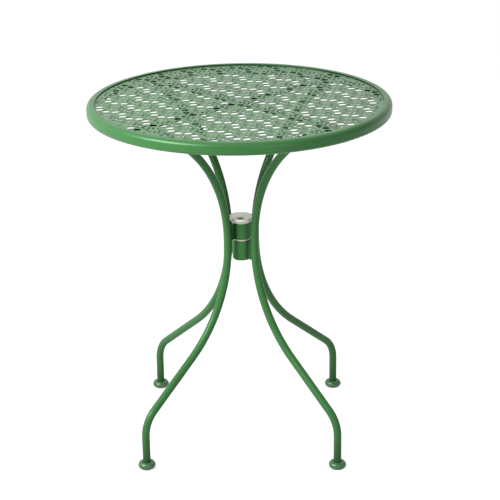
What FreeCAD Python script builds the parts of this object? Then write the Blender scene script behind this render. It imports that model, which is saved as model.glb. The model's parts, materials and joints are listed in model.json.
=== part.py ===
import FreeCAD, Part
import math
import os

# Round bistro table: perforated steel top in a rolled rim, two pairs of bent tube
# legs that pinch to a waist, and a two-storey swivel hub that lets one pair swing
# towards the other. Millimetres, +Z up, origin on the floor under the hub axis.
# Azimuths are measured from +X towards +Y.

# ---- driving dimensions ----
table_height = 710.0
top_radius = 300.0
steel = 1.2                      # wall of the rolled rim
sheet_thickness = 1.5

rim_height = 24.0
rim_top_round = 9.0
rim_bottom_round = 6.0
rim_flange_radius = 284.0        # inner edge of the rim's top flange
rim_edge_depth = 2.4             # the flange's inner edge, turned down onto the sheet
rim_edge_round = 0.9             # outside round of that turned edge
rim_lip_radius = 289.0           # inner edge of the rim's bottom lip
sheet_radius = 290.0
hole_limit_radius = 282.5        # every perforation stays inside this circle

strip_width = 14.0
strip_thickness = 3.0
rib_height = 2.7                 # from a cross bar up to the sheet
rib_thickness = 3.0
rib_end_radius = 236.0
strip_land = 6.0                 # length of a bar's raised end, which meets the sheet

tube_radius = 8.0
tube_wall = 1.2
foot_radius = 270.0              # leg ends, measured from the hub axis
waist_radius = 38.5              # leg centreline at its narrowest
waist_low_height = 412.0
waist_high_height = 428.0
lower_bow_radius = 270.0
upper_bow_radius = 273.5
upper_bow_turn = 76.0            # degrees from upright at the leg's top end
run_slope = 38.0                 # degrees above level of the straight lower run
knee_radius = 60.0

lug_width = 22.0
lug_thickness = 3.0
lug_inner_radius = 218.0
lug_outer_radius = 264.0
bolt_circle_radius = 252.0
tube_end_radius = 243.0

hub_radius = 18.7
hub_wall = 2.0
hub_bottom = 380.0
hub_lower_height = 39.0
hub_upper_height = 33.8
hub_washer_thickness = 3.3
hub_washer_inset = 1.0           # washer's edge, behind the face of the hub tubes
pin_clearance = 0.05             # radial, between the plastic pin and the hub tubes
pin_wall = 2.6                   # wall of the pin's sleeve
pin_throat_radius = 7.0          # hole in the floor of the pin's funnel
pin_floor = 7.5                  # funnel's floor, above the end of the upper tube
funnel_radius = 25.5
funnel_height = 11.2
funnel_lip = 2.2                 # thickness of the funnel's rounded lip
funnel_lip_height = 3.6          # upright part of the funnel's outside
gusset_thickness = 4.0
gusset_margin = 1.0              # gusset edge to the end of its hub tube
cap_flange_radius = 17.5
cap_flange_thickness = 1.6
cap_plug_height = 14.0

pad_radius = 17.5
pad_height = 15.0                # the pad's round edge is half a circle and more
pad_floor = 3.0
pad_play = 0.05                  # radial, pad socket round the leg

bolt_radius = 3.0
bolt_head_radius = 6.0
bolt_head_height = 3.4
bolt_head_round = 2.0
bolt_end_gap = 0.3               # bolt end to the underside of the sheet
washer_radius = 7.5
washer_thickness = 1.2
hole_play = 0.1                  # radial, bolt shank in the strip
lug_hole_play = 0.3              # radial, bolt shank in a lug
swing_gap = 0.3                  # air above, below and beside the swinging pair

# ---- perforation: rosettes on a centred lattice along the two strips ----
# w runs along the long strip's normal and u along the long strip. Offsets are from
# a rosette's centre, and the slot pair is half way between two rosettes.
rosette_pitch_w = 70.0
rosette_pitch_u = 50.0
diamond_offset = (25.0, 19.5)
diamond_size = (10.5, 12.5)
crescent_offset = 12.0
crescent_size = (12.0, 4.2)
crescent_waist = 0.7             # half depth of a crescent's inner curve
slot_pair_offset = 5.0
slot_pair_size = (4.8, 9.6)

# ---- heights and azimuths worked out from the above ----
rim_bottom = table_height - rim_height
sheet_top = table_height - rim_edge_depth
sheet_bottom = sheet_top - sheet_thickness
strip_top = sheet_bottom - rib_height
strip_bottom = strip_top - strip_thickness
washer_top = strip_bottom - lug_thickness
hub_washer_bottom = hub_bottom + hub_lower_height + swing_gap
hub_washer_top = hub_washer_bottom + hub_washer_thickness
hub_top = hub_washer_top + hub_upper_height

fixed_pair = {"front_left": 225.0, "back_right": 45.0}
swing_pair = {"front_right": 315.0, "back_left": 135.0}
long_strip_azimuth = 45.0

up = FreeCAD.Vector(0, 0, 1)
origin = FreeCAD.Vector(0, 0, 0)


def save(shape, name):
    """Write one node's STEP file."""
    shape.exportStep("parts/" + name + ".step")


def turned(shape, azimuth):
    """A copy turned about the hub axis from azimuth 0."""
    copy = shape.copy()
    copy.rotate(origin, up, azimuth)
    return copy


def at(radius, height):
    """A point in the upright plane at azimuth 0."""
    return FreeCAD.Vector(radius, 0, height)


def on_circle(centre, radius, degrees):
    """A point on a circle in the upright plane, degrees above the outward level."""
    angle = math.radians(degrees)
    return centre + FreeCAD.Vector(radius * math.cos(angle), 0, radius * math.sin(angle))


def arc(centre, radius, start, end):
    """An arc in the upright plane between two angles in degrees."""
    middle = (start + end) / 2
    ends = [on_circle(centre, radius, angle) for angle in (start, middle, end)]
    return Part.Arc(*ends).toShape()


def line(start, end):
    return Part.LineSegment(start, end).toShape()


def revolved(edges):
    """A solid of revolution about the hub axis from a closed outline at azimuth 0."""
    face = Part.Face(Part.Wire(edges))
    return face.revolve(origin, up, 360)


def hoop(edges):
    """A large ring about the hub axis, swept as two half turns."""
    half = Part.Face(Part.Wire(edges)).revolve(origin, up, 180)
    return half.fuse(turned(half, 180))


def outline(points):
    """Straight edges through the points, closed."""
    return [line(a, b) for a, b in zip(points, points[1:] + points[:1])]


def ring(inner, outer, bottom, height):
    """A plain cylindrical ring about the hub axis."""
    body = Part.makeCylinder(outer, height, FreeCAD.Vector(0, 0, bottom))
    return body.cut(Part.makeCylinder(inner, height, FreeCAD.Vector(0, 0, bottom)))


# ---- tabletop ----

shoulder_centre = at(top_radius - rim_top_round, table_height - rim_top_round)
curl_centre = at(top_radius - rim_bottom_round, rim_bottom + rim_bottom_round)


def rim_shoulder():
    """Top of the rim: a quarter round outside, a flat flange, and a turned-down edge."""
    outer_top = on_circle(shoulder_centre, rim_top_round, 90)
    outer_side = on_circle(shoulder_centre, rim_top_round, 0)
    inner_side = on_circle(shoulder_centre, rim_top_round - steel, 0)
    inner_top = on_circle(shoulder_centre, rim_top_round - steel, 90)
    edge_centre = at(rim_flange_radius + rim_edge_round, table_height - rim_edge_round)
    edge_back = rim_flange_radius + steel
    return hoop([
        arc(edge_centre, rim_edge_round, 180, 90),
        line(on_circle(edge_centre, rim_edge_round, 90), outer_top),
        arc(shoulder_centre, rim_top_round, 90, 0),
        line(outer_side, inner_side),
        arc(shoulder_centre, rim_top_round - steel, 0, 90),
        line(inner_top, at(edge_back, table_height - steel)),
        line(at(edge_back, table_height - steel), at(edge_back, sheet_top)),
        line(at(edge_back, sheet_top), at(rim_flange_radius, sheet_top)),
        line(at(rim_flange_radius, sheet_top), on_circle(edge_centre, rim_edge_round, 180)),
    ])


def rim_band():
    """Upright wall of the rim, between its two rounds."""
    height = shoulder_centre.z - curl_centre.z
    return ring(top_radius - steel, top_radius, curl_centre.z, height)


def rim_curl():
    """Bottom of the rim: a quarter round and a lip that turns in under the table."""
    outer_side = on_circle(curl_centre, rim_bottom_round, 0)
    outer_bottom = on_circle(curl_centre, rim_bottom_round, -90)
    inner_bottom = on_circle(curl_centre, rim_bottom_round - steel, -90)
    inner_side = on_circle(curl_centre, rim_bottom_round - steel, 0)
    return hoop([
        arc(curl_centre, rim_bottom_round, 0, -90),
        line(outer_bottom, at(rim_lip_radius, rim_bottom)),
        line(at(rim_lip_radius, rim_bottom), at(rim_lip_radius, rim_bottom + steel)),
        line(at(rim_lip_radius, rim_bottom + steel), inner_bottom),
        arc(curl_centre, rim_bottom_round - steel, -90, 0),
        line(inner_side, outer_side),
    ])


def in_sheet(w, u):
    return FreeCAD.Vector(w, u, sheet_bottom)


def diamond(w, u, size):
    """A four-sided hole, its diagonals along w and u."""
    half_w, half_u = size[0] / 2, size[1] / 2
    points = [in_sheet(w + half_w, u), in_sheet(w, u + half_u),
              in_sheet(w - half_w, u), in_sheet(w, u - half_u)]
    return Part.Wire(outline(points))


def crescent(w, u, side):
    """A smile-shaped slot that opens away from the rosette's centre."""
    half, depth = crescent_size[0] / 2, crescent_size[1] / 2
    left, right = in_sheet(w - half, u + side * depth), in_sheet(w + half, u + side * depth)
    belly = in_sheet(w, u - side * depth)
    waist = in_sheet(w, u + side * crescent_waist)
    return Part.Wire([Part.Arc(left, belly, right).toShape(), Part.Arc(right, waist, left).toShape()])


def rosette_holes(w, u):
    """The holes that belong to the rosette centred at (w, u)."""
    joint = w + rosette_pitch_w / 2
    holes = []
    for a in (-1, 1):
        holes.append(diamond(joint + a * slot_pair_offset, u, slot_pair_size))
        holes.append(crescent(w, u + a * crescent_offset, a))
        for b in (-1, 1):
            holes.append(diamond(w + a * diamond_offset[0], u + b * diamond_offset[1], diamond_size))
    return holes


def inside_sheet(wire):
    return all(math.hypot(v.X, v.Y) < hole_limit_radius for v in wire.Vertexes)


def perforated_sheet():
    """The pressed sheet with its whole field of rosettes."""
    rows = int(top_radius / rosette_pitch_u) + 1
    columns = int(top_radius / rosette_pitch_w) + 1
    holes = []
    for row in range(-rows, rows + 1):
        shift = rosette_pitch_w / 2 if row % 2 else 0.0
        for column in range(-columns - 1, columns + 1):
            holes += rosette_holes(column * rosette_pitch_w + shift, row * rosette_pitch_u)
    wires = [hole for hole in holes if inside_sheet(hole)]
    edge = Part.Wire(Part.makeCircle(sheet_radius, FreeCAD.Vector(0, 0, sheet_bottom)))
    face = Part.Face([edge] + wires)
    sheet = face.extrude(FreeCAD.Vector(0, 0, sheet_thickness))
    return turned(sheet, -long_strip_azimuth)


def bar(start, end, width, bottom, top):
    """A square-edged bar along azimuth 0."""
    corner = FreeCAD.Vector(start, -width / 2, bottom)
    return Part.makeBox(end - start, width, top - bottom, corner)


def strip(start, rib_start):
    """A cross bar at azimuth 0: a flat foot, a rib up to the sheet, and a raised end."""
    foot = bar(start, sheet_radius, strip_width, strip_bottom, strip_top)
    rib = bar(rib_start, rib_end_radius, rib_thickness, strip_top, sheet_bottom)
    land = bar(sheet_radius - strip_land, sheet_radius, strip_width, strip_top, sheet_bottom)
    return foot.fuse([rib, land]).removeSplitter()


def tapped_hole():
    return Part.makeCylinder(bolt_radius + hole_play, strip_thickness,
                             FreeCAD.Vector(bolt_circle_radius, 0, strip_bottom))


def long_strip():
    """The unbroken bar of the cross, over the fixed pair of legs."""
    half = strip(0.0, 0.0).cut(tapped_hole())
    whole = half.fuse(turned(half, 180)).removeSplitter()
    return turned(whole, long_strip_azimuth)


def half_strip(azimuth):
    """One half bar of the cross, butted against the long bar."""
    return turned(strip(strip_width / 2, rib_thickness / 2).cut(tapped_hole()), azimuth)


# ---- legs ----

def leg_path():
    """Leg centreline from the foot up: upright, knee, straight run, two bows."""
    slope = math.radians(run_slope)
    low_centre = at(waist_radius + lower_bow_radius, waist_low_height)
    high_centre = at(waist_radius + upper_bow_radius, waist_high_height)
    run_top = on_circle(low_centre, lower_bow_radius, 270 - run_slope)
    corner_reach = (foot_radius - run_top.x) / math.cos(slope)
    corner = at(foot_radius, run_top.z - corner_reach * math.sin(slope))
    setback = knee_radius * math.tan(math.radians(90 - run_slope) / 2)
    knee_low = corner - FreeCAD.Vector(0, 0, setback)
    knee_centre = knee_low - FreeCAD.Vector(knee_radius, 0, 0)
    knee_high = on_circle(knee_centre, knee_radius, 90 - run_slope)
    waist_low = at(waist_radius, waist_low_height)
    waist_high = at(waist_radius, waist_high_height)
    edges = [
        line(at(foot_radius, pad_floor), knee_low),
        arc(knee_centre, knee_radius, 0, 90 - run_slope),
        line(knee_high, run_top),
        arc(low_centre, lower_bow_radius, 270 - run_slope, 180),
        line(waist_low, waist_high),
        arc(high_centre, upper_bow_radius, 180, 180 - upper_bow_turn),
    ]
    return Part.Wire(edges)


def swept_rod(radius):
    """A round rod along the leg path."""
    circle = Part.makeCircle(radius, at(foot_radius, pad_floor), up)
    return leg_path().makePipeShell([Part.Wire(circle)], True, True)


def beyond_lug(lug_underside):
    """The space over a lug's underside, and outside the tube's trimmed end, at azimuth 0."""
    size = top_radius
    over = Part.makeBox(size, size, size, FreeCAD.Vector(0, -size / 2, lug_underside))
    outside = Part.makeBox(size, size, size, FreeCAD.Vector(tube_end_radius, -size / 2, hub_top))
    return over.fuse(outside)


def leg(lug_underside):
    """A bent tube at azimuth 0, trimmed to sit flat under its lug."""
    tube = swept_rod(tube_radius).cut(swept_rod(tube_radius - tube_wall))
    return tube.cut(beyond_lug(lug_underside))


def lug_blank(bottom, thickness):
    """A flat tongue with a round outer end, at azimuth 0."""
    nose = lug_outer_radius - lug_width / 2
    tongue = Part.makeBox(nose - lug_inner_radius, lug_width, thickness,
                          FreeCAD.Vector(lug_inner_radius, -lug_width / 2, bottom))
    return tongue.fuse(Part.makeCylinder(lug_width / 2, thickness, at(nose, bottom))).removeSplitter()


def fixed_lug():
    """Leg lug clamped to the strip by its bolt."""
    hole = Part.makeCylinder(bolt_radius + lug_hole_play, lug_thickness,
                             at(bolt_circle_radius, washer_top))
    return lug_blank(washer_top, lug_thickness).cut(hole)


def swing_lug():
    """Leg lug whose hole is open on its trailing side, so it can leave its bolt."""
    bottom = washer_top + swing_gap
    thickness = lug_thickness - 2 * swing_gap
    play = bolt_radius + 2 * lug_hole_play
    hole = Part.makeCylinder(play, thickness, at(bolt_circle_radius, bottom))
    mouth = Part.makeBox(2 * play, lug_width, thickness,
                         FreeCAD.Vector(bolt_circle_radius - play, -lug_width, bottom))
    return lug_blank(bottom, thickness).cut(hole.fuse(mouth))


# ---- hub ----

def hub_tube(bottom, height):
    return ring(hub_radius - hub_wall, hub_radius, bottom, height)


def gusset(bottom, tube_height):
    """Weld plate from a hub tube to its leg, at azimuth 0."""
    height = tube_height - 2 * gusset_margin
    plate = Part.makeBox(waist_radius, gusset_thickness, height,
                         FreeCAD.Vector(0, -gusset_thickness / 2, bottom + gusset_margin))
    barrel = Part.makeCylinder(hub_radius, table_height)
    return plate.cut(barrel).cut(swept_rod(tube_radius))


def hub_pin():
    """Plastic pivot pin: open funnel on the upper tube, hollow sleeve down through both."""
    sleeve = hub_radius - hub_wall - pin_clearance
    funnel_top = hub_top + funnel_height
    lip = at(funnel_radius - funnel_lip / 2, funnel_top - funnel_lip / 2)
    lip_outside = on_circle(lip, funnel_lip / 2, 0)
    lip_inside = on_circle(lip, funnel_lip / 2, 180)
    points = [
        lip_inside,
        at(pin_throat_radius + pin_wall, hub_top + pin_floor),
        at(pin_throat_radius, hub_top + pin_floor - pin_wall / 2),
        at(pin_throat_radius, hub_top + pin_floor - 1.5 * pin_wall),
        at(sleeve - pin_wall, hub_top - pin_wall),
        at(sleeve - pin_wall, hub_bottom),
        at(sleeve, hub_bottom),
        at(sleeve, hub_top),
        at(hub_radius, hub_top),
        at(funnel_radius, funnel_top - funnel_lip_height),
        lip_outside,
    ]
    edges = [line(a, b) for a, b in zip(points, points[1:])]
    return revolved(edges + [arc(lip, funnel_lip / 2, 0, 180)])


def hub_washer():
    """Plastic washer between the two tubes, its edge set back a little."""
    edge = hub_radius - hub_washer_inset
    return ring(hub_radius - hub_wall, edge, hub_washer_bottom, hub_washer_thickness)


def hub_cap():
    """Snap cap that holds the lower tube up on the pin."""
    flange_top = hub_bottom - swing_gap
    plug_radius = hub_radius - hub_wall - pin_clearance - pin_wall - pin_clearance
    flange = Part.makeCylinder(cap_flange_radius, cap_flange_thickness,
                               FreeCAD.Vector(0, 0, flange_top - cap_flange_thickness))
    plug = Part.makeCylinder(plug_radius, cap_plug_height, FreeCAD.Vector(0, 0, flange_top))
    return flange.fuse(plug)


# ---- feet and fasteners ----

def foot_pad():
    """Bun-shaped plastic foot with a socket for the leg, at azimuth 0."""
    socket = tube_radius + pad_play
    bulge = pad_height / 2
    middle = at(pad_radius - bulge, bulge)
    crease_angle = math.degrees(math.acos((socket - middle.x) / bulge))
    crease = on_circle(middle, bulge, crease_angle)
    edges = [
        line(at(0, 0), on_circle(middle, bulge, -90)),
        arc(middle, bulge, -90, crease_angle),
        line(crease, at(socket, pad_floor)),
        line(at(socket, pad_floor), at(0, pad_floor)),
        line(at(0, pad_floor), at(0, 0)),
    ]
    pad = revolved(edges)
    pad.translate(at(foot_radius, 0))
    return pad


def bolt():
    """Button-head bolt up through washer, lug and strip, at azimuth 0."""
    head_bottom = washer_top - washer_thickness - bolt_head_height
    shank_bottom = head_bottom + bolt_head_height
    head = Part.makeCylinder(bolt_head_radius, bolt_head_height, at(bolt_circle_radius, head_bottom))
    rim = [edge for edge in head.Edges if edge.BoundBox.ZMax < shank_bottom]
    head = head.makeFillet(bolt_head_round, rim)
    shank = Part.makeCylinder(bolt_radius, sheet_bottom - shank_bottom - bolt_end_gap,
                              at(bolt_circle_radius, shank_bottom))
    return head.fuse(shank)


def washer():
    bottom = washer_top - washer_thickness
    disc = Part.makeCylinder(washer_radius, washer_thickness, at(bolt_circle_radius, bottom))
    return disc.cut(Part.makeCylinder(bolt_radius + hole_play, washer_thickness,
                                      at(bolt_circle_radius, bottom)))


def group(shape, azimuths):
    """The same solid repeated at several azimuths, kept as separate solids."""
    return Part.makeCompound([turned(shape, azimuth) for azimuth in azimuths])


def build():
    os.makedirs("parts", exist_ok=True)
    save(rim_shoulder(), "rim_shoulder")
    save(rim_band(), "rim_band")
    save(rim_curl(), "rim_curl")
    save(perforated_sheet(), "perforated_top")
    save(long_strip(), "brace_strip_long")
    save(half_strip(swing_pair["front_right"]), "brace_strip_front_half")
    save(half_strip(swing_pair["back_left"]), "brace_strip_back_half")
    upper = hub_washer_top
    fixed_leg = leg(washer_top)
    swing_leg = leg(washer_top + swing_gap)
    for place, azimuth in fixed_pair.items():
        save(turned(fixed_leg, azimuth), "leg_" + place)
        save(turned(fixed_lug(), azimuth), "lug_" + place)
        save(turned(gusset(upper, hub_upper_height), azimuth), "hub_gusset_" + place)
    for place, azimuth in swing_pair.items():
        save(turned(swing_leg, azimuth), "leg_" + place)
        save(turned(swing_lug(), azimuth), "lug_" + place)
        save(turned(gusset(hub_bottom, hub_lower_height), azimuth), "hub_gusset_" + place)
    for place, azimuth in list(fixed_pair.items()) + list(swing_pair.items()):
        save(turned(foot_pad(), azimuth), "foot_pad_" + place)
    save(hub_tube(upper, hub_upper_height), "hub_tube_upper")
    save(hub_tube(hub_bottom, hub_lower_height), "hub_tube_lower")
    save(hub_pin(), "hub_pin")
    save(hub_washer(), "hub_washer")
    save(hub_cap(), "hub_cap")
    corners = list(fixed_pair.values()) + list(swing_pair.values())
    save(group(bolt(), corners), "top_bolts")
    save(group(washer(), corners), "top_washers")


build()
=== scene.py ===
import json
import math

import bmesh
import bpy
from mathutils import Matrix, Vector


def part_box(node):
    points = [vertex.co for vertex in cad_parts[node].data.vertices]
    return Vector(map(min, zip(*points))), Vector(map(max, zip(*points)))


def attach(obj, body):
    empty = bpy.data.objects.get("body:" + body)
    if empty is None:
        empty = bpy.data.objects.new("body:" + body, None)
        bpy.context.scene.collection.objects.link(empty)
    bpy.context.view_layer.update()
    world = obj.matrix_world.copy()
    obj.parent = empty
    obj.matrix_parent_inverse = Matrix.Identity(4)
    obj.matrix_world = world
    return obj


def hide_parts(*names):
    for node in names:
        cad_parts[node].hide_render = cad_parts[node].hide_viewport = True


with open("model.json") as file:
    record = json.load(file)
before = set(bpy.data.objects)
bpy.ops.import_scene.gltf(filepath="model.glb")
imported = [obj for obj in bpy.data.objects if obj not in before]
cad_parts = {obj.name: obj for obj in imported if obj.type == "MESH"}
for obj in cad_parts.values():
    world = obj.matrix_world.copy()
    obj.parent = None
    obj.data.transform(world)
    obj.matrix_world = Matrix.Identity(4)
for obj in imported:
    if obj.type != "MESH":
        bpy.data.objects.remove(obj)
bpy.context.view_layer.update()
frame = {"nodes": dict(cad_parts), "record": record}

# Looks of a round bistro table: powder-coated steel, a pressed sheet with its whole field
# of holes, a swivel hub with a cream plastic pin, and welds, bolts and mould marks.
# Metres, +Z up; azimuths are in degrees from +X towards +Y.

scene = bpy.context.scene
scene.view_settings.view_transform = "Standard"

# ---- camera: from the front, looking down a little onto the top ----
CAMERA_PLACE = Vector((0.1035, -3.1226, 1.5646))
CAMERA_HEADING = math.radians(-1.59)      # from +Y towards +X
CAMERA_PITCH = math.radians(20.54)        # below level
CAMERA_ROLL = math.radians(-0.83)
CAMERA_LENS = 118.3                       # millimetres, as the sensor's width is
CAMERA_SENSOR = 36.0
CAMERA_RANGE = (0.1, 50.0)


def make_camera():
    """Places the camera from its heading, pitch and roll."""
    data = bpy.data.cameras.new("camera")
    data.lens = CAMERA_LENS
    data.sensor_width = CAMERA_SENSOR
    data.clip_start, data.clip_end = CAMERA_RANGE
    camera = bpy.data.objects.new("camera", data)
    scene.collection.objects.link(camera)
    level = math.cos(CAMERA_PITCH)
    forward = Vector((math.sin(CAMERA_HEADING) * level, math.cos(CAMERA_HEADING) * level,
                      -math.sin(CAMERA_PITCH)))
    side = forward.cross(Vector((0, 0, 1))).normalized()
    over = side.cross(forward)
    c, s = math.cos(CAMERA_ROLL), math.sin(CAMERA_ROLL)
    right = c * side + s * over
    upward = -s * side + c * over
    turn = Matrix((right, upward, -forward)).transposed()
    camera.matrix_world = Matrix.Translation(CAMERA_PLACE) @ turn.to_4x4()
    scene.camera = camera


# ---- materials: the nodes they share ----
TONE_STOPS = (0.3, 0.7)               # noise values that take the darker and the lighter tone
OPEN_FACE = 0.9                       # share of open sky above which a face gets no painted recess shade
PAINTED_SHADE_SAMPLES = 8


def new_material(name):
    material = bpy.data.materials.new(name)
    material.use_nodes = True
    nodes = material.node_tree.nodes
    return material, nodes, material.node_tree.links, nodes["Principled BSDF"]


def object_coordinates(nodes):
    return nodes.new("ShaderNodeTexCoord").outputs["Object"]


def noise(nodes, links, coordinates, scale, detail=3.0):
    texture = nodes.new("ShaderNodeTexNoise")
    texture.inputs["Scale"].default_value = scale
    texture.inputs["Detail"].default_value = detail
    links.new(coordinates, texture.inputs["Vector"])
    return texture.outputs["Fac"]


def two_tones(nodes, links, value, dark, light, stops=TONE_STOPS):
    """A colour that goes from dark to light as the value goes from stop to stop."""
    node = nodes.new("ShaderNodeValToRGB")
    for element, stop, colour in zip(node.color_ramp.elements, stops, (dark, light)):
        element.position = stop
        element.color = (*colour, 1.0)
    links.new(value, node.inputs["Fac"])
    return node.outputs["Color"]


def spread(nodes, links, value, low, high, start=0.0, end=1.0):
    """Maps a value from start to end onto low to high, and holds it there beyond them."""
    node = nodes.new("ShaderNodeMapRange")
    node.inputs["From Min"].default_value = start
    node.inputs["From Max"].default_value = end
    node.inputs["To Min"].default_value = low
    node.inputs["To Max"].default_value = high
    links.new(value, node.inputs["Value"])
    return node.outputs["Result"]


def bump(nodes, links, height, distance):
    node = nodes.new("ShaderNodeBump")
    node.inputs["Strength"].default_value = 1.0
    node.inputs["Distance"].default_value = distance
    links.new(height, node.inputs["Height"])
    return node.outputs["Normal"]


def painted_recess_shade(nodes, links, colour, reach, left, closed=0.0):
    """The colour with painted shade: darker where surfaces within reach close off the sky.

    It is whole where the open share is OPEN_FACE or more, and is multiplied by left where
    that share is closed or less.
    """
    # ambient occlusion sets how deep the painted shade in the base colour is
    painted_shade_ao = nodes.new("ShaderNodeAmbientOcclusion")
    painted_shade_ao.samples = PAINTED_SHADE_SAMPLES
    painted_shade_ao.inputs["Distance"].default_value = reach
    shade = spread(nodes, links, painted_shade_ao.outputs["AO"], left, 1.0, closed, OPEN_FACE)
    mix = nodes.new("ShaderNodeMix")
    mix.data_type = "RGBA"
    mix.blend_type = "MULTIPLY"
    mix.inputs["Factor"].default_value = 1.0
    links.new(colour, mix.inputs[6])
    links.new(shade, mix.inputs[7])
    return mix.outputs[2]


# ---- materials: powder coat ----
COAT_TONES = ((0.0240, 0.0900, 0.0260), (0.0275, 0.1000, 0.0295))
# a lighter copy of the coat's tones: painted light on the hub tubes, which the legs shade from
# the key
HUB_TONES_PAINTED_LIGHT = ((0.0320, 0.1180, 0.0350), (0.0360, 0.1300, 0.0390))
COAT_TINT = (0.45, 0.70, 0.45, 1.0)   # a satin skin over green pigment reflects greenish
COAT_SHADE_LEFT = 0.05                      # share of the colour that the painted recess shade leaves deep in a recess
TONE_NOISE, TONE_DETAIL = 14.0, 4.0
GLOSS_NOISE, GLOSS_CHANGE = 60.0, 0.05
PEEL_NOISE, PEEL_DETAIL, PEEL_DEPTH = 900.0, 2.0, 0.00004


def powder_coat(name, specular, roughness, reach, closed, tones=COAT_TONES):
    """Satin green powder coat: drifting tone and gloss, orange peel, and painted shade in its
    recesses.
    """
    material, nodes, links, shader = new_material(name)
    place = object_coordinates(nodes)
    colour = two_tones(nodes, links, noise(nodes, links, place, TONE_NOISE, TONE_DETAIL), *tones)
    # the base colour carries painted shade in recesses
    links.new(painted_recess_shade(nodes, links, colour, reach, COAT_SHADE_LEFT, closed),
              shader.inputs["Base Color"])
    shader.inputs["Specular IOR Level"].default_value = specular
    shader.inputs["Specular Tint"].default_value = COAT_TINT
    links.new(spread(nodes, links, noise(nodes, links, place, GLOSS_NOISE),
                     roughness - GLOSS_CHANGE, roughness + GLOSS_CHANGE),
              shader.inputs["Roughness"])
    peel = noise(nodes, links, place, PEEL_NOISE, PEEL_DETAIL)
    links.new(bump(nodes, links, peel, PEEL_DEPTH), shader.inputs["Normal"])
    return material


# ---- materials: plastic and zinc ----
PLASTIC_NOISE = 40.0
PLASTIC_PAINTED_SHADE = (0.012, 0.35)        # reach of the painted recess shade, and the share of the colour that it leaves
GRAIN_NOISE, GRAIN_DETAIL, GRAIN_DEPTH = 1500.0, 2.0, 0.00004
GRAIN_SMOOTHER, GRAIN_ROUGHER = 0.05, 0.08
ZINC_TONES = ((0.50, 0.51, 0.50), (0.66, 0.67, 0.66))
ZINC_STOPS = (0.0, 0.8)
SPANGLE_SCALE = 400.0
ZINC_NOISE = 300.0
ZINC_ROUGHNESS = (0.25, 0.45)


def moulded_plastic(name, dark, light, roughness):
    """Moulded plastic with a fine spark-eroded grain, and painted shade in its recesses."""
    material, nodes, links, shader = new_material(name)
    place = object_coordinates(nodes)
    colour = two_tones(nodes, links, noise(nodes, links, place, PLASTIC_NOISE), dark, light)
    # the base colour carries painted shade in recesses
    links.new(painted_recess_shade(nodes, links, colour, *PLASTIC_PAINTED_SHADE), shader.inputs["Base Color"])
    grain = noise(nodes, links, place, GRAIN_NOISE, GRAIN_DETAIL)
    links.new(spread(nodes, links, grain, roughness - GRAIN_SMOOTHER,
                     roughness + GRAIN_ROUGHER), shader.inputs["Roughness"])
    links.new(bump(nodes, links, grain, GRAIN_DEPTH), shader.inputs["Normal"])
    return material


def zinc():
    """Bright zinc plate with small spangles and a drifting gloss."""
    material, nodes, links, shader = new_material("zinc_steel")
    place = object_coordinates(nodes)
    shader.inputs["Metallic"].default_value = 1.0
    spangle = nodes.new("ShaderNodeTexVoronoi")
    spangle.inputs["Scale"].default_value = SPANGLE_SCALE
    links.new(place, spangle.inputs["Vector"])
    colour = two_tones(nodes, links, spangle.outputs["Distance"], *ZINC_TONES, ZINC_STOPS)
    links.new(colour, shader.inputs["Base Color"])
    links.new(spread(nodes, links, noise(nodes, links, place, ZINC_NOISE), *ZINC_ROUGHNESS),
              shader.inputs["Roughness"])
    return material


# A coat's numbers: specular level, roughness, how far the painted shade in its recesses reaches,
# and the share of open sky at which that painted shade is darkest.
MATERIALS = {
    "green_powder_coat": powder_coat("green_powder_coat", 0.22, 0.30, 0.12, 0.25),
    "green_plastic": moulded_plastic("green_plastic", (0.021, 0.079, 0.024),
                                     (0.025, 0.087, 0.027), 0.35),
    "cream_plastic": moulded_plastic("cream_plastic", (0.47, 0.455, 0.40),
                                     (0.54, 0.525, 0.465), 0.5),
    "dark_plastic": moulded_plastic("dark_plastic", (0.010, 0.018, 0.011),
                                    (0.016, 0.026, 0.017), 0.5),
    "zinc_steel": zinc(),
}
SHEET_COAT = powder_coat("green_powder_coat_sheet", 0.70, 0.29, 0.03, 0.70)
BAR_COAT = powder_coat("green_powder_coat_bars", 0.06, 0.50, 0.03, 0.70)
RIM_COAT = powder_coat("green_powder_coat_rim", 0.38, 0.33, 0.03, 0.50)
# the hub tubes' coat is lighter than the rest: painted light
HUB_COAT = powder_coat("green_powder_coat_hub", 0.12, 0.45, 0.004, 0.30, HUB_TONES_PAINTED_LIGHT)
NODE_COATS = (("rim_", RIM_COAT), ("brace_", BAR_COAT), ("hub_tube", HUB_COAT))


def material_of(node, slot):
    """The material of the slot, with a coat of their own for rim, cross bars and hub tubes; the
    hub's is lighter as painted light.
    """
    for start, coat in NODE_COATS:
        if node.startswith(start):
            return coat
    return MATERIALS[slot]


def dress_nodes():
    """Gives every CAD node its material."""
    for part in frame["record"]["subparts"]:
        piece = frame["nodes"][part["node"]]
        piece.data.materials.clear()
        piece.data.materials.append(material_of(part["node"], part["material_slot"]))


# ---- the pressed sheet, with its whole field of holes ----
# w runs across the long bar of the cross and u along it. Holes are placed from the centre of
# their rosette, or from the centre of their joint, half way to the next rosette along w.
SHEET_RADIUS = 0.29
SHEET_SIDES = 180
HOLE_LIMIT = 0.2835                # every hole stays inside this circle
HOLE_EDGE = 0.0002                 # rounded edge of the pressed holes
MERGE = 1e-6                       # points nearer than this are one
PITCH_W, PITCH_U = 0.070, 0.050    # rosettes on a centred lattice
LATTICE_TURN = math.radians(-45)

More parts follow.
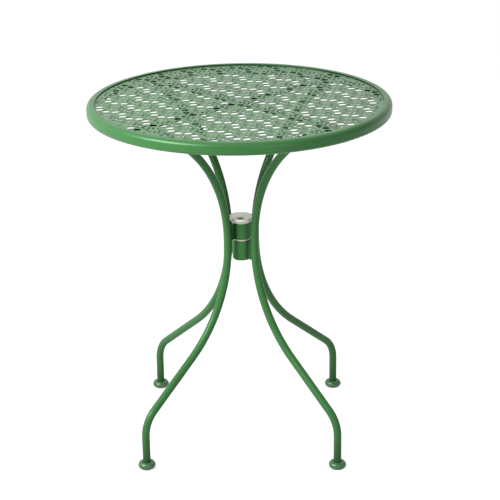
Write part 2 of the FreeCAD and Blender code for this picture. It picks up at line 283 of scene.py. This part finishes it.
DIAMOND, DIAMOND_PLACE = (0.0152, 0.0172), (0.0250, 0.0195)
DIAMOND_POWER = 1.5
PETAL, PETAL_PLACE = (0.0100, 0.0060), (0.0108, 0.0074)
PETAL_SLANT = 60
CRESCENT, CRESCENT_PLACE = (0.0138, 0.0062), 0.0120
BUD, BUD_PLACE = (0.0066, 0.0066), 0.0153
TIP, TIP_PLACE = (0.0056, 0.0086), 0.0240
SLOT, JOINT_SLOT_PLACE = (0.0070, 0.0124), 0.0050
JOINT_TIP_PLACE = 0.0120
JOINT_BUD_PLACE = (0.0133, 0.0064)

# The crescent's outer and hollow edges: where the middle stands, from -1 at the foot to 1 at
# the tips, the share of the full width, and the direction the edge is drawn in.
CRESCENT_EDGES = ((-1.0, 1.0, 1), (0.4, 0.82, -1))


def oval(w, u, size, slant=0.0, power=2.0, count=8):
    """A closed outline: a diamond at power 1, an ellipse at power 2."""
    c, s = math.cos(math.radians(slant)), math.sin(math.radians(slant))
    points = []
    for number in range(count):
        angle = math.tau * number / count
        a = math.copysign(abs(math.cos(angle)) ** (2 / power), math.cos(angle)) * size[0] / 2
        b = math.copysign(abs(math.sin(angle)) ** (2 / power), math.sin(angle)) * size[1] / 2
        points.append((w + a * c - b * s, u + a * s + b * c))
    return points


def crescent(w, u, side, count=6):
    """A smile-shaped slot that opens away from its rosette's centre."""
    points = []
    for middle, share, order in CRESCENT_EDGES:
        for step in range(count)[::order]:
            along = 2 * step / (count - 1) - 1
            depth = CRESCENT[1] / 2 * (middle + (1 - middle) * along * along)
            reach = along * CRESCENT[0] / 2 * share
            points.append((w + reach, u + side * depth))
    return points


def rosette(w, u):
    """All the holes of one rosette and of the joint beside it."""
    joint = w + PITCH_W / 2
    holes = []
    for a in (-1, 1):
        holes.append(oval(w + a * BUD_PLACE, u, BUD))
        holes.append(oval(w, u + a * TIP_PLACE, TIP))
        holes.append(oval(joint + a * JOINT_SLOT_PLACE, u, SLOT, count=10))
        holes.append(oval(joint, u + a * JOINT_TIP_PLACE, TIP))
        holes.append(crescent(w, u + a * CRESCENT_PLACE, a))
        for b in (-1, 1):
            holes.append(oval(w + a * DIAMOND_PLACE[0], u + b * DIAMOND_PLACE[1], DIAMOND,
                              power=DIAMOND_POWER, count=12))
            holes.append(oval(w + a * PETAL_PLACE[0], u + b * PETAL_PLACE[1], PETAL,
                              slant=a * b * PETAL_SLANT))
            holes.append(oval(joint + a * JOINT_BUD_PLACE[0], u + b * JOINT_BUD_PLACE[1], BUD))
    return holes


def sheet_outlines():
    """The sheet's round edge, and every hole that fits inside its plain border."""
    edge = SHEET_RADIUS - HOLE_EDGE
    turns = [math.tau * number / SHEET_SIDES for number in range(SHEET_SIDES)]
    outlines = [[(edge * math.cos(turn), edge * math.sin(turn)) for turn in turns]]
    reach = int(SHEET_RADIUS / PITCH_U) + 1
    for row in range(-reach, reach + 1):
        shift = PITCH_W / 2 if row % 2 else 0.0
        for column in range(-reach, reach + 1):
            for hole in rosette(column * PITCH_W + shift, row * PITCH_U):
                if all(math.hypot(x, y) < HOLE_LIMIT for x, y in hole):
                    outlines.append(hole)
    return outlines


def pressed_sheet():
    """The perforated sheet as one closed mesh, its hole edges rounded by the press."""
    low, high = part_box("perforated_top")
    curve = bpy.data.curves.new("pressed_sheet", "CURVE")
    curve.dimensions = "2D"
    curve.fill_mode = "BOTH"
    curve.extrude = (high.z - low.z) / 2 - HOLE_EDGE
    curve.bevel_depth = HOLE_EDGE
    curve.bevel_resolution = 0
    for points in sheet_outlines():
        spline = curve.splines.new("POLY")
        spline.points.add(len(points) - 1)
        for point, (x, y) in zip(spline.points, points):
            point.co = (x, y, 0.0, 1.0)
        spline.use_cyclic_u = True
    former = bpy.data.objects.new("former", curve)
    scene.collection.objects.link(former)
    bpy.context.view_layer.update()
    mesh = bpy.data.meshes.new_from_object(former)
    bpy.data.objects.remove(former)
    form = bmesh.new()
    form.from_mesh(mesh)
    bmesh.ops.remove_doubles(form, verts=form.verts, dist=MERGE)
    lift = Matrix.Translation((0, 0, (low.z + high.z) / 2))
    form.transform(lift @ Matrix.Rotation(LATTICE_TURN, 4, "Z"))
    form.to_mesh(mesh)
    form.free()
    mesh.materials.clear()
    mesh.materials.append(SHEET_COAT)
    mesh.name = "pressed_sheet"
    piece = bpy.data.objects.new("pressed_sheet", mesh)
    scene.collection.objects.link(piece)
    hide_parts("perforated_top")
    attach(piece, "table")


# ---- how the small pieces are made ----
RIPPLE = 0.0016                    # length of one ripple along a weld bead
BEAD_END = 0.45                    # size of a bead's two ends, against the rest of it
NEAR_UPRIGHT = 0.9                 # beads that rise more steeply than this are upright
CIRCLE_STEPS = 72
SHARP = math.radians(40)           # edges that turn more than this stay sharp


def around(azimuth, x, y, z):
    """A point given beside the upright plane at an azimuth."""
    c, s = math.cos(math.radians(azimuth)), math.sin(math.radians(azimuth))
    return Vector((x * c - y * s, x * s + y * c, z))


def run(start, end, step=0.0004):
    """Evenly spaced points on a straight run."""
    count = max(2, int((end - start).length / step) + 1)
    return [start.lerp(end, number / (count - 1)) for number in range(count)]


def circle_points(centre, radius):
    """Points once round a level circle, with the first one again at the end."""
    turns = [math.tau * number / CIRCLE_STEPS for number in range(CIRCLE_STEPS + 1)]
    return [centre + Vector((radius * math.cos(turn), radius * math.sin(turn), 0))
            for turn in turns]


def join_rings(form, rings):
    """Skins a row of equal rings and closes both ends."""
    sides = len(rings[0])
    for near, far in zip(rings, rings[1:]):
        for a in range(sides):
            b = (a + 1) % sides
            form.faces.new((near[a], near[b], far[b], far[a]))
    form.faces.new(rings[0][::-1])
    form.faces.new(rings[-1])


def add_bead(form, points, radius, ripple=0.18, sides=8):
    """A round bead along the points, rippled as a weld is, closed at its smaller ends."""
    count = len(points)
    rings = []
    travelled = 0.0
    for number, point in enumerate(points):
        before, after = points[max(number - 1, 0)], points[min(number + 1, count - 1)]
        ahead = (after - before).normalized()
        if number:
            travelled += (point - points[number - 1]).length
        side = ahead.orthogonal().normalized()
        if abs(ahead.z) < NEAR_UPRIGHT:
            side = ahead.cross(Vector((0, 0, 1))).normalized()
        over = side.cross(ahead)
        swell = 1 + ripple * math.sin(math.tau * travelled / RIPPLE)
        taper = BEAD_END if number in (0, count - 1) else 1.0
        ring = []
        for step in range(sides):
            turn = math.tau * step / sides
            out = side * math.cos(turn) + over * math.sin(turn)
            ring.append(form.verts.new(point + out * radius * swell * taper))
        rings.append(ring)
    join_rings(form, rings)


def add_lathe(form, centre, profile, sides=24):
    """A turned shape on an upright axis; a profile point is (radius, height, is_hexagon)."""
    rings = []
    for radius, height, hexagon in profile:
        ring = []
        for step in range(sides):
            turn = math.tau * step / sides
            reach = radius
            if hexagon:
                reach = radius / math.cos((turn + math.pi / 6) % (math.pi / 3) - math.pi / 6)
            ring.append(form.verts.new(centre + Vector((reach * math.cos(turn),
                                                        reach * math.sin(turn), height))))
        rings.append(ring)
    join_rings(form, rings)


def finish_piece(form, name, body, slot):
    """Turns the built form into an object that rides its body and wears its slot."""
    bmesh.ops.recalc_face_normals(form, faces=form.faces)
    for face in form.faces:
        face.smooth = True
    mesh = bpy.data.meshes.new(name)
    form.to_mesh(mesh)
    form.free()
    mesh.set_sharp_from_angle(angle=SHARP)
    mesh.materials.append(MATERIALS[slot])
    piece = bpy.data.objects.new(name, mesh)
    scene.collection.objects.link(piece)
    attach(piece, body)
    return piece


# ---- welds ----
FIXED_PAIR = (225, 45)             # azimuths of a pair of legs, the front leg first
SWING_PAIR = (315, 135)
TUBE_RADIUS = 0.0080
WAIST = 0.0385                     # leg centreline to the hub axis
LOWER_BOW = (0.2700, 0.4120)       # bend radius, and the height where it begins
UPPER_BOW = (0.2735, 0.4280)
TUBE_END = 0.2430                  # where the tube is cut off under its lug
PLATE = 0.0020                     # half the thickness of a gusset
BAR = 0.0070                       # half the width of a bar of the cross
FILLET = 0.0012                    # size of a weld bead
FILLET_OFF = FILLET / 3            # a fillet's middle stands off both faces by this much
WELD_MARGIN = 0.001                # from the end of a gusset to the end of its welds
GUSSET_STEPS = 80
LUG_STEPS = 60                     # to each side of the tube
SPOTS = 36
SPOT_CIRCLE = 0.2865               # spot welds are on the sheet's plain border
SPOT_SIDES = 16
SPOT = [(0.0006, -0.0004, False), (0.0016, -0.0003, False), (0.0024, 0.0, False),
        (0.0024, 0.0001, False)]
SEAM_AZIMUTH = 97
SEAM_RADIUS = 0.0007
SEAM_SUNK = 0.0004                 # its middle lies this far under the rim's outer face
SEAM_RIPPLE = 0.1


def leg_inner_face(height):
    """Distance from the hub axis to the leg, where a gusset's face meets it."""
    reach = math.sqrt(TUBE_RADIUS ** 2 - PLATE ** 2)
    for (bend, begin), below in ((LOWER_BOW, True), (UPPER_BOW, False)):
        past = begin - height if below else height - begin
        if past > 0:
            return WAIST + bend - math.sqrt((bend + reach) ** 2 - past ** 2)
    return WAIST - reach


def gusset_welds(body, azimuths, gusset):
    """Fillet welds on both faces of each gusset, at the hub and at the leg."""
    low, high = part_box(gusset)
    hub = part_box("hub_tube_upper")[1].x
    tall = high.z - low.z - 2 * WELD_MARGIN
    heights = [low.z + WELD_MARGIN + tall * number / GUSSET_STEPS
               for number in range(GUSSET_STEPS + 1)]
    form = bmesh.new()
    for azimuth in azimuths:
        for side in (-PLATE - FILLET_OFF, PLATE + FILLET_OFF):
            add_bead(form, [around(azimuth, hub + FILLET_OFF, side, z) for z in heights], FILLET)
            add_bead(form, [around(azimuth, leg_inner_face(z) - FILLET_OFF, side, z)
                            for z in heights], FILLET)
    finish_piece(form, "gusset_welds_" + body, body, "green_powder_coat")


def lug_welds(body, azimuths, lug):
    """The weld round the sloping end of each tube, on the underside of its lug."""
    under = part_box(lug)[0].z
    bend, begin = UPPER_BOW
    rise = under - begin
    apex = WAIST + bend - math.sqrt((bend + TUBE_RADIUS) ** 2 - rise ** 2)
    form = bmesh.new()
    for azimuth in azimuths:
        points = []
        for number in range(-LUG_STEPS, LUG_STEPS + 1):
            share = abs(number) / LUG_STEPS
            reach = apex + (TUBE_END - apex) * share * share
            above = math.hypot(WAIST + bend - reach, rise) - bend
            width = math.sqrt(max(TUBE_RADIUS ** 2 - above ** 2, 0.0))
            points.append(around(azimuth, reach, math.copysign(width, number), under))
        add_bead(form, points, FILLET)
    finish_piece(form, "lug_welds_" + body, body, "green_powder_coat")


def cross_welds():
    """Where the two half bars of the cross butt against the long one."""
    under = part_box("brace_strip_front_half")[0].z
    form = bmesh.new()
    for azimuth in SWING_PAIR:
        ends = [around(azimuth, BAR, side, under) for side in (-BAR, BAR)]
        add_bead(form, run(*ends), FILLET)
    finish_piece(form, "cross_welds", "table", "green_powder_coat")


def rim_spot_welds():
    """Spot welds that hold the sheet to the rim, on the underside of its plain border."""
    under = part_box("perforated_top")[0].z
    form = bmesh.new()
    for number in range(SPOTS):
        centre = around(360 / SPOTS * (number + 0.5), SPOT_CIRCLE, 0.0, under)
        add_lathe(form, centre, SPOT, SPOT_SIDES)
    finish_piece(form, "rim_spot_welds", "table", "green_powder_coat")


def rim_seam():
    """The hoop's butt weld, ground nearly flush, at the back of the rim."""
    low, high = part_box("rim_band")
    ends = [around(SEAM_AZIMUTH, high.x - SEAM_SUNK, 0, z) for z in (low.z, high.z)]
    form = bmesh.new()
    add_bead(form, run(*ends), SEAM_RADIUS, SEAM_RIPPLE)
    finish_piece(form, "rim_seam", "table", "green_powder_coat")


# ---- bolts and mould marks ----
HEAD_RADIUS = 0.0060
HEAD_HEIGHT = 0.0034
HEAD_EDGE = 0.0002
CROWN_RADIUS = 0.0036              # of the flat round the socket
CROWN_HEIGHT = 0.0026              # of the round from that flat to the head's side
CROWN_STEPS = 6
SOCKET = 0.0020                    # half the hexagon socket, across its flats
SOCKET_DEPTH = 0.0020
MOUTH_DEPTH = 0.0003               # the socket's flared mouth
MOUTH_FLARE = 1.15
SHANK_RADIUS = 0.0030
THREAD = 0.0010                    # its pitch
THREAD_START = 0.0003              # from the head to the first turn
THREAD_ROOT = 0.88                 # radius at the root, against the shank's
PLAIN_ENDS = 0.001                 # shank that is left with no thread
TIP_LENGTH, TIP_STEP = 0.0007, 0.0006

PAD_SEAM_HEIGHT = 0.0075           # the widest part of a foot pad
PAD_SEAM = 0.0002
PAD_SEAM_SIDES = 6
CAP_RIBS = 8
CAP_RIB = 0.0005
CAP_RIB_STEP = 0.002
CAP_RIB_ENDS = (0.0050, 0.0145)
CAP_RINGS = (0.0050, 0.0148)


def bolt_profile(length):
    """Half outline of a button-head bolt, from the foot of its socket to its tip."""
    profile = [(SOCKET, SOCKET_DEPTH, True), (SOCKET, MOUTH_DEPTH, True),
               (SOCKET * MOUTH_FLARE, 0.0, True), (CROWN_RADIUS, 0.0, False)]
    for step in range(1, CROWN_STEPS + 1):
        turn = math.pi / 2 * step / CROWN_STEPS
        profile.append((CROWN_RADIUS + (HEAD_RADIUS - CROWN_RADIUS) * math.sin(turn),
                        CROWN_HEIGHT * (1 - math.cos(turn)), False))
    profile += [(HEAD_RADIUS, HEAD_HEIGHT - HEAD_EDGE, False),
                (HEAD_RADIUS - HEAD_EDGE, HEAD_HEIGHT, False),
                (SHANK_RADIUS, HEAD_HEIGHT, False)]
    for number in range(int((length - HEAD_HEIGHT - PLAIN_ENDS) / THREAD)):
        foot = HEAD_HEIGHT + THREAD_START + number * THREAD
        profile += [(SHANK_RADIUS, foot, False),
                    (SHANK_RADIUS * THREAD_ROOT, foot + THREAD / 2, False)]
    return profile + [(SHANK_RADIUS, length - TIP_LENGTH, False),
                      (SHANK_RADIUS - TIP_STEP, length, False)]


def socket_bolts():
    """Button-head bolts with a hexagon socket, heads down, and a thread at the top."""
    low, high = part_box("top_bolts")
    profile = bolt_profile(high.z - low.z)
    circle = (high.x - HEAD_RADIUS) * math.sqrt(2)
    form = bmesh.new()
    for azimuth in FIXED_PAIR + SWING_PAIR:
        add_lathe(form, around(azimuth, circle, 0.0, low.z), profile)
    piece = finish_piece(form, "socket_bolts", "table", "zinc_steel")
    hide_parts("top_bolts")


def pad_seams(body, azimuths, pad):
    """The mould's parting line round the widest part of each foot pad."""
    low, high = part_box(pad)
    radius = (high.x - low.x) / 2
    reach = math.hypot(low.x + high.x, low.y + high.y) / 2
    form = bmesh.new()
    for azimuth in azimuths:
        centre = around(azimuth, reach, 0.0, PAD_SEAM_HEIGHT)
        add_bead(form, circle_points(centre, radius), PAD_SEAM, 0.0, PAD_SEAM_SIDES)
    finish_piece(form, "pad_seams_" + body, body, "green_plastic")


def cap_ribs():
    """Moulded rings and radial ribs on the underside of the hub's snap cap."""
    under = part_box("hub_cap")[0].z
    form = bmesh.new()
    for number in range(CAP_RIBS):
        ends = [around(360 / CAP_RIBS * number, radius, 0, under) for radius in CAP_RIB_ENDS]
        add_bead(form, run(*ends, CAP_RIB_STEP), CAP_RIB, ripple=0.0)
    for radius in CAP_RINGS:
        add_bead(form, circle_points(Vector((0, 0, under)), radius), CAP_RIB, ripple=0.0)
    finish_piece(form, "cap_ribs", "table", "dark_plastic")


# ---- floor and light ----
FLOOR_REACH = 20.0
FLOOR_NOISE = 3.0
FLOOR_TONES = ((0.24, 0.24, 0.24), (0.26, 0.26, 0.26))
FLOOR_ROUGHNESS = 0.9
FLOOR_SPECULAR = 0.2
FLOOR_GLOW = 0.80                  # the pale floor is a light table
WHITE = (1.0, 1.0, 1.0, 1.0)
WORLD_LEVEL = 0.60
WORLD_SLOPE = (-0.08, 0.50, 0.12)  # the studio is brighter to the left, behind and above
KEY_PLACE = (-1.50, -1.10, 1.80)
KEY_TARGET = (-0.05, -0.05, 0.65)
KEY_SIZE = (1.3, 0.8)
KEY_POWER = 122.0
FILL_PLACE = (0.90, -2.00, 0.90)   # shines on the hub between the two front legs
FILL_TARGET = (0.0, 0.0, 0.42)
FILL_SIZE = (0.9, 0.9)
FILL_POWER = 10.0


def floor():
    """A pale light table: it glows a little, so that it stays white far from the lamps."""
    mesh = bpy.data.meshes.new("floor")
    form = bmesh.new()
    bmesh.ops.create_grid(form, x_segments=1, y_segments=1, size=FLOOR_REACH)
    form.to_mesh(mesh)
    form.free()
    piece = bpy.data.objects.new("floor", mesh)
    scene.collection.objects.link(piece)
    material, nodes, links, shader = new_material("floor")
    shade = noise(nodes, links, object_coordinates(nodes), FLOOR_NOISE)
    links.new(two_tones(nodes, links, shade, *FLOOR_TONES), shader.inputs["Base Color"])
    shader.inputs["Roughness"].default_value = FLOOR_ROUGHNESS
    shader.inputs["Specular IOR Level"].default_value = FLOOR_SPECULAR
    shader.inputs["Emission Color"].default_value = WHITE
    shader.inputs["Emission Strength"].default_value = FLOOR_GLOW
    mesh.materials.append(material)


def softbox(name, place, target, size, power):
    """A rectangular lamp that faces its target."""
    data = bpy.data.lights.new(name, "AREA")
    data.shape = "RECTANGLE"
    data.size, data.size_y = size
    data.energy = power
    lamp = bpy.data.objects.new(name, data)
    lamp.location = place
    lamp.rotation_euler = (Vector(target) - Vector(place)).to_track_quat("-Z", "Y").to_euler()
    scene.collection.objects.link(lamp)


def studio_world():
    """Even studio surroundings whose brightness drifts with direction."""
    world = bpy.data.worlds.new("studio")
    world.use_nodes = True
    nodes, links = world.node_tree.nodes, world.node_tree.links
    direction = nodes.new("ShaderNodeTexCoord").outputs["Generated"]
    slope = nodes.new("ShaderNodeVectorMath")
    slope.operation = "DOT_PRODUCT"
    slope.inputs[1].default_value = WORLD_SLOPE
    links.new(direction, slope.inputs[0])
    level = nodes.new("ShaderNodeMath")
    level.operation = "ADD"
    level.inputs[1].default_value = WORLD_LEVEL
    links.new(slope.outputs["Value"], level.inputs[0])
    links.new(level.outputs["Value"], nodes["Background"].inputs["Strength"])
    nodes["Background"].inputs["Color"].default_value = WHITE
    scene.world = world


make_camera()
dress_nodes()
pressed_sheet()
gusset_welds("table", FIXED_PAIR, "hub_gusset_front_left")
gusset_welds("swing_legs", SWING_PAIR, "hub_gusset_front_right")
lug_welds("table", FIXED_PAIR, "lug_front_left")
lug_welds("swing_legs", SWING_PAIR, "lug_front_right")
cross_welds()
socket_bolts()
pad_seams("table", FIXED_PAIR, "foot_pad_front_left")
pad_seams("swing_legs", SWING_PAIR, "foot_pad_front_right")
cap_ribs()
rim_spot_welds()
rim_seam()
floor()
studio_world()
softbox("key", KEY_PLACE, KEY_TARGET, KEY_SIZE, KEY_POWER)
softbox("fill", FILL_PLACE, FILL_TARGET, FILL_SIZE, FILL_POWER)
